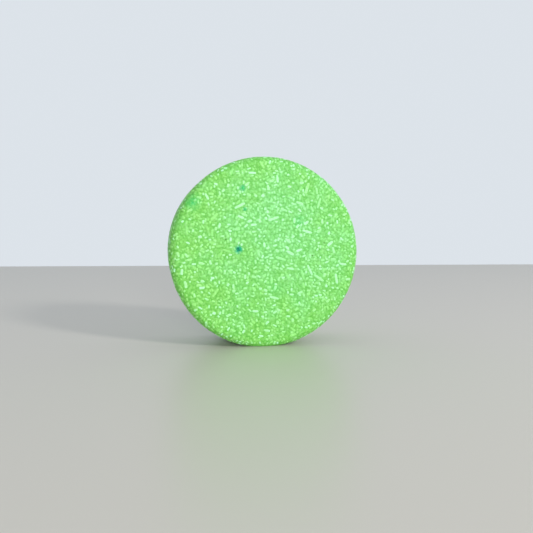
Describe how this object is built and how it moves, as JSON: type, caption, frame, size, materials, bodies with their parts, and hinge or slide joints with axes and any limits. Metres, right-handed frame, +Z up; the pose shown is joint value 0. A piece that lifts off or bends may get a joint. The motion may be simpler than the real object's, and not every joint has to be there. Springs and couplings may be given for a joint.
{
  "type": "shaving soap puck",
  "caption": "Round pressed soap puck with rounded edges: pale extruded soap needles and dye granules set in a bright green soap binder, standing on its rim.",
  "frame": {"origin": "centre of the flat on the rim that the puck stands on, which is the bottom centre of its bounding box", "axes": "+Z up, +Y along the puck's axis from its front face to its back face, +X to the right seen from the front"},
  "size_m": [0.062, 0.024, 0.0615],
  "materials": {
    "green_binder": "waxy, soft and slightly translucent pressed soap",
    "soap_needles": "waxy pale soap needles, slightly shiny where pressed",
    "dye": "matte undissolved teal dye"
  },
  "bodies": {
    "root": {"soap_binder": "green_binder", "front_needles_short": "soap_needles", "front_needles_medium": "soap_needles", "front_needles_long": "soap_needles", "rim_needles_short": "soap_needles", "rim_needles_medium": "soap_needles", "rim_needles_long": "soap_needles", "back_needles_short": "soap_needles", "back_needles_medium": "soap_needles", "back_needles_long": "soap_needles", "dye_granule_large": "dye", "dye_granule_medium": "dye", "dye_granule_small": "dye", "dye_specks_fine": "dye"}
  },
  "joints": []
}
